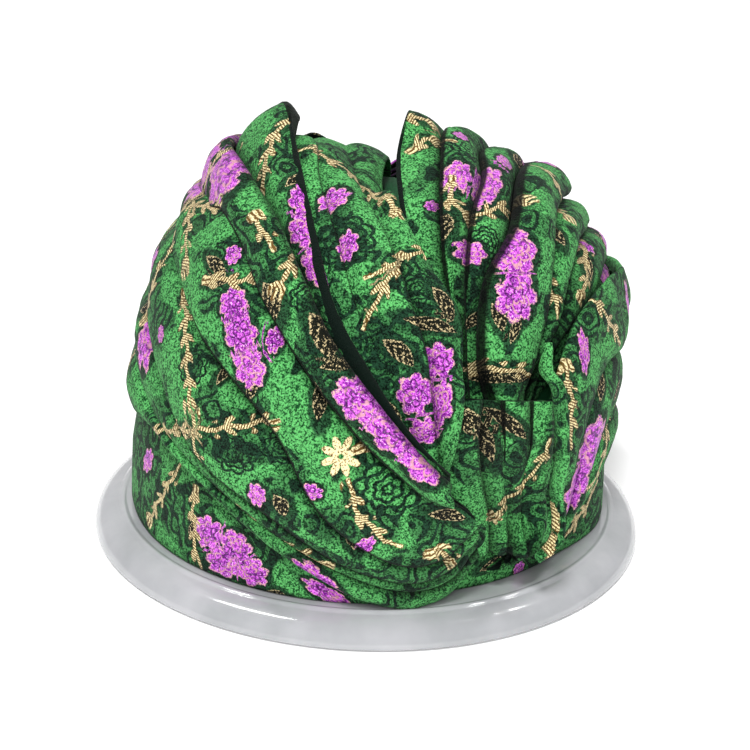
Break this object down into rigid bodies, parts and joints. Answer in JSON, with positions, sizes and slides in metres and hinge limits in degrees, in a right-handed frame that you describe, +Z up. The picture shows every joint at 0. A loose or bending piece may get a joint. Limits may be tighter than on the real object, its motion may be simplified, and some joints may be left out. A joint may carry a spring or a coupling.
{
  "type": "draped turban on a round display stand",
  "caption": "Soft pleated turban of green floral brocade, draped in two lobes over a fitted cap, on a low round white display stand.",
  "frame": {"origin": "middle of the box that holds the object, on the surface that the stand rests on", "axes": "+Z up, the front of the turban faces -Y, +X to the right as seen from the front"},
  "size_m": [0.216, 0.216, 0.1719],
  "materials": {
    "opal_white": "glossy opal white",
    "plain_green_cloth": "soft matt crepe",
    "green_brocade": "grained crepe with raised metallic embroidery"
  },
  "bodies": {
    "root": {"display_stand": "opal_white", "cap_side": "plain_green_cloth", "cap_crown": "plain_green_cloth", "hem_band": "green_brocade", "right_wing": "green_brocade", "right_drape": "green_brocade", "fan_panel": "green_brocade", "centre_panel": "green_brocade", "left_drape": "green_brocade", "back_panel": "green_brocade", "standing_fold": "green_brocade"}
  },
  "joints": []
}
